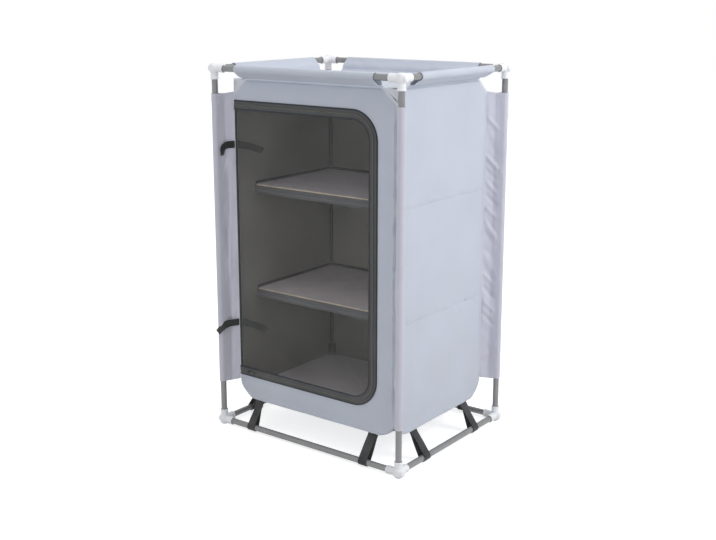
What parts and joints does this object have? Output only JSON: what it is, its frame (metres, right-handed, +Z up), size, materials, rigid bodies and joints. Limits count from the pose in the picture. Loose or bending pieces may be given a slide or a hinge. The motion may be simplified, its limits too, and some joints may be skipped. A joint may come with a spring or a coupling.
{
  "type": "portable fabric wardrobe",
  "caption": "Free-standing cloth cabinet with shelves behind a zipped mesh door, slung inside a plug-together tube frame.",
  "frame": {"origin": "on the ground under the centre of the four uprights", "axes": "+X to the right seen from the front, +Y to the back, +Z up; the door faces -Y"},
  "size_m": [0.635, 0.506, 1.006],
  "materials": {
    "frame_tube": "satin grey coat on thin steel tube",
    "corner_plastic": "white injection moulding, faintly satin",
    "cabinet_cloth": "light grey woven polyester, coated inside",
    "wing_cloth": "light grey woven polyester with a lavender cast",
    "shelf_board": "thin hardboard with a grey-mauve face and a raw tan edge",
    "webbing": "charcoal polyester webbing",
    "door_mesh": "charcoal knitted mesh",
    "zip_tape": "charcoal woven zip tape",
    "zip_metal": "dark painted die casting"
  },
  "bodies": {
    "cabinet": {"upright_front_left": "frame_tube", "upright_front_right": "frame_tube", "upright_rear_left": "frame_tube", "upright_rear_right": "frame_tube", "bottom_rail_front": "frame_tube", "bottom_rail_rear": "frame_tube", "bottom_rail_left": "frame_tube", "bottom_rail_right": "frame_tube", "top_rail_front": "frame_tube", "top_rail_rear": "frame_tube", "top_rail_left": "frame_tube", "top_rail_right": "frame_tube", "corner_bottom_front_left": "corner_plastic", "corner_bottom_front_right": "corner_plastic", "corner_bottom_rear_left": "corner_plastic", "corner_bottom_rear_right": "corner_plastic", "corner_top_front_left": "corner_plastic", "corner_top_front_right": "corner_plastic", "corner_top_rear_left": "corner_plastic", "corner_top_rear_right": "corner_plastic", "wall_front": "cabinet_cloth", "wall_right": "cabinet_cloth", "wall_rear": "cabinet_cloth", "wall_left": "cabinet_cloth", "ceiling": "cabinet_cloth", "floor_cloth": "cabinet_cloth", "sleeve_front": "cabinet_cloth", "sleeve_right": "cabinet_cloth", "sleeve_rear": "cabinet_cloth", "sleeve_left": "cabinet_cloth", "shelf_cloth_lower": "cabinet_cloth", "shelf_cloth_upper": "cabinet_cloth", "shelf_board_lower": "shelf_board", "shelf_board_upper": "shelf_board", "floor_board": "shelf_board", "wing_front_left": "wing_cloth", "wing_front_right": "wing_cloth", "wing_rear_left": "wing_cloth", "wing_rear_right": "wing_cloth", "strap_front_1": "webbing", "strap_front_2": "webbing", "strap_right_1": "webbing", "strap_right_2": "webbing", "strap_rear_1": "webbing", "strap_rear_2": "webbing", "strap_left_1": "webbing", "strap_left_2": "webbing", "tie_upper_outer": "webbing", "tie_upper_inner": "webbing", "tie_lower_outer": "webbing", "tie_lower_inner": "webbing", "zip_tape_wall": "zip_tape"},
    "door": {"door_mesh": "door_mesh", "zip_tape_door": "zip_tape"},
    "slider": {"zip_slider": "zip_metal"},
    "pull": {"zip_pull": "zip_metal"}
  },
  "joints": [
    {"name": "door_hinge", "type": "hinge", "parent": "cabinet", "child": "door", "pos_m": [-0.263, -0.2071, 0.527], "axis": [0, 0, -1], "range_deg": [0, 90]},
    {"name": "zip_slide", "type": "slide", "parent": "door", "child": "slider", "axis": [1, 0, 0], "range_m": [0, 0.351]},
    {"name": "pull_flip", "type": "hinge", "parent": "slider", "child": "pull", "pos_m": [-0.229, -0.2134, 0.157], "axis": [0, 0, -1], "range_deg": [0, 170]}
  ]
}
